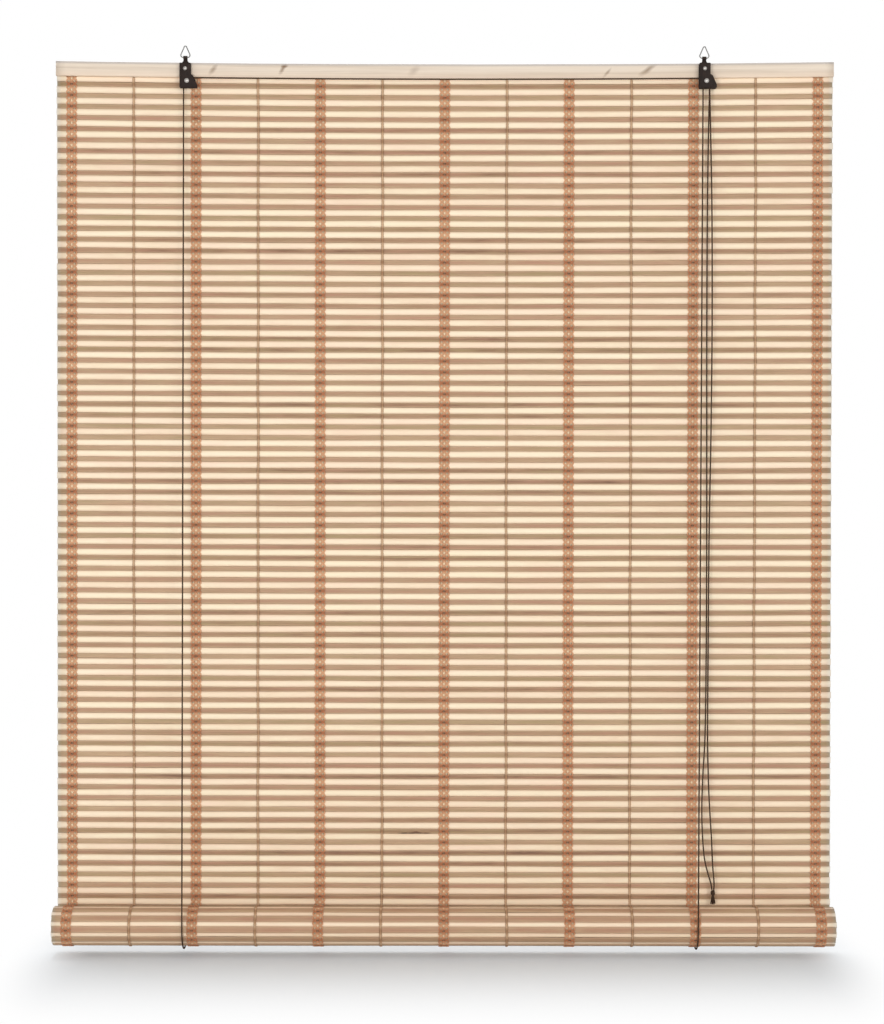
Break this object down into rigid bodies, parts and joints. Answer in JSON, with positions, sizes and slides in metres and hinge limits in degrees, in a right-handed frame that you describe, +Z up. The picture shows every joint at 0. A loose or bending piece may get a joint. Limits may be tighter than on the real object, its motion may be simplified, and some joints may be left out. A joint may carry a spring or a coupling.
{
  "type": "roll-up bamboo blind",
  "caption": "Roll-up window blind of split bamboo slats woven with thread braids, hung from a wooden batten by wire rings and drawn up by cords over pulleys.",
  "frame": {"origin": "centre of the head batten's back face", "axes": "+X to the viewer's right along the batten, +Y back towards the wall, +Z up"},
  "size_m": [1.4, 0.0875, 1.6222],
  "materials": {
    "pine": "planed, bare",
    "bamboo": "split bamboo, pale inner and darker outer faces",
    "warp_thread": "twisted cotton thread",
    "black_steel": "blackened, worn",
    "bright_steel": "bright plated",
    "cord": "twisted dark cord"
  },
  "bodies": {
    "head": {"head_batten": "pine", "mat_brads": "bright_steel", "slat_mat": "bamboo", "mat_braid_1": "warp_thread", "mat_braid_2": "warp_thread", "mat_braid_3": "warp_thread", "mat_braid_4": "warp_thread", "mat_braid_5": "warp_thread", "mat_braid_6": "warp_thread", "mat_braid_7": "warp_thread", "mat_thread_1": "warp_thread", "mat_thread_2": "warp_thread", "mat_thread_3": "warp_thread", "mat_thread_4": "warp_thread", "mat_thread_5": "warp_thread", "mat_thread_6": "warp_thread", "left_back_plate": "black_steel", "left_front_plate": "black_steel", "left_spacer": "black_steel", "left_screw": "bright_steel", "left_axle": "bright_steel", "right_back_plate": "black_steel", "right_front_plate": "black_steel", "right_spacer": "black_steel", "right_screw": "bright_steel", "right_axle": "bright_steel", "pawl_pin": "bright_steel", "left_cord_back": "cord", "left_cord_front": "cord", "cross_cord": "cord", "right_cord_back": "cord", "right_cord_front": "cord", "right_cord_turn": "cord"},
    "cord_cradle": {"left_cord_loop": "cord", "right_cord_loop": "cord"},
    "roll": {"rolled_mat": "bamboo", "bottom_rod": "pine", "roll_braid_1": "warp_thread", "roll_braid_2": "warp_thread", "roll_braid_3": "warp_thread", "roll_braid_4": "warp_thread", "roll_braid_5": "warp_thread", "roll_braid_6": "warp_thread", "roll_braid_7": "warp_thread", "roll_thread_1": "warp_thread", "roll_thread_2": "warp_thread", "roll_thread_3": "warp_thread", "roll_thread_4": "warp_thread", "roll_thread_5": "warp_thread", "roll_thread_6": "warp_thread"},
    "left_pulley": {"left_pulley": "black_steel"},
    "right_rear_pulley": {"right_rear_pulley": "black_steel"},
    "right_front_pulley": {"right_front_pulley": "black_steel"},
    "lock_pawl": {"lock_pawl": "black_steel"},
    "left_ring": {"left_ring": "bright_steel"},
    "right_ring": {"right_ring": "bright_steel"},
    "pull_cord": {"pull_cord_left": "cord", "pull_cord_right": "cord", "pull_knot": "cord"}
  },
  "joints": [
    {"name": "roll_lift", "type": "slide", "parent": "head", "child": "cord_cradle", "axis": [0, 0, 1], "range_m": [0, 1.44], "deforming": ["slat_mat", "mat_braid_1", "mat_braid_2", "mat_braid_3", "mat_braid_4", "mat_braid_5", "mat_braid_6", "mat_braid_7", "mat_thread_1", "mat_thread_2", "mat_thread_3", "mat_thread_4", "mat_thread_5", "mat_thread_6", "left_cord_front", "right_cord_front", "left_cord_back", "right_cord_back", "pull_cord_left", "pull_cord_right", "pull_knot"]},
    {"name": "roll_turn", "type": "hinge", "parent": "cord_cradle", "child": "roll", "pos_m": [0, -0.045, -1.53422], "axis": [1, 0, 0], "range_deg": [-2160.5, 0]},
    {"name": "left_pulley_spin", "type": "hinge", "parent": "head", "child": "left_pulley", "pos_m": [-0.4635, -0.0207, -0.0185], "axis": [0, 1, 0], "continuous": true},
    {"name": "right_rear_pulley_spin", "type": "hinge", "parent": "head", "child": "right_rear_pulley", "pos_m": [0.4695, -0.0207, -0.0185], "axis": [0, 1, 0], "continuous": true},
    {"name": "right_front_pulley_spin", "type": "hinge", "parent": "head", "child": "right_front_pulley", "pos_m": [0.4695, -0.0263, -0.0185], "axis": [0, 1, 0], "continuous": true},
    {"name": "pawl_swing", "type": "hinge", "parent": "head", "child": "lock_pawl", "pos_m": [0.48, -0.0235, -0.0265], "axis": [0, 1, 0], "range_deg": [0, 35]},
    {"name": "left_ring_swing", "type": "hinge", "parent": "head", "child": "left_ring", "pos_m": [-0.4665, -0.0188, 0.024], "axis": [1, 0, 0], "range_deg": [-90, 90]},
    {"name": "right_ring_swing", "type": "hinge", "parent": "head", "child": "right_ring", "pos_m": [0.4665, -0.0188, 0.024], "axis": [1, 0, 0], "range_deg": [-90, 90]},
    {"name": "pull_cord_shift", "type": "slide", "parent": "head", "child": "pull_cord", "axis": [0, -1, 0], "range_m": [0, 0.0661]}
  ],
  "couplings": [
    {"joint": "roll_turn", "follows": "roll_lift", "rad_per_m": -26.18},
    {"joint": "pull_cord_shift", "follows": "roll_lift", "ratio": 0.045833}
  ]
}
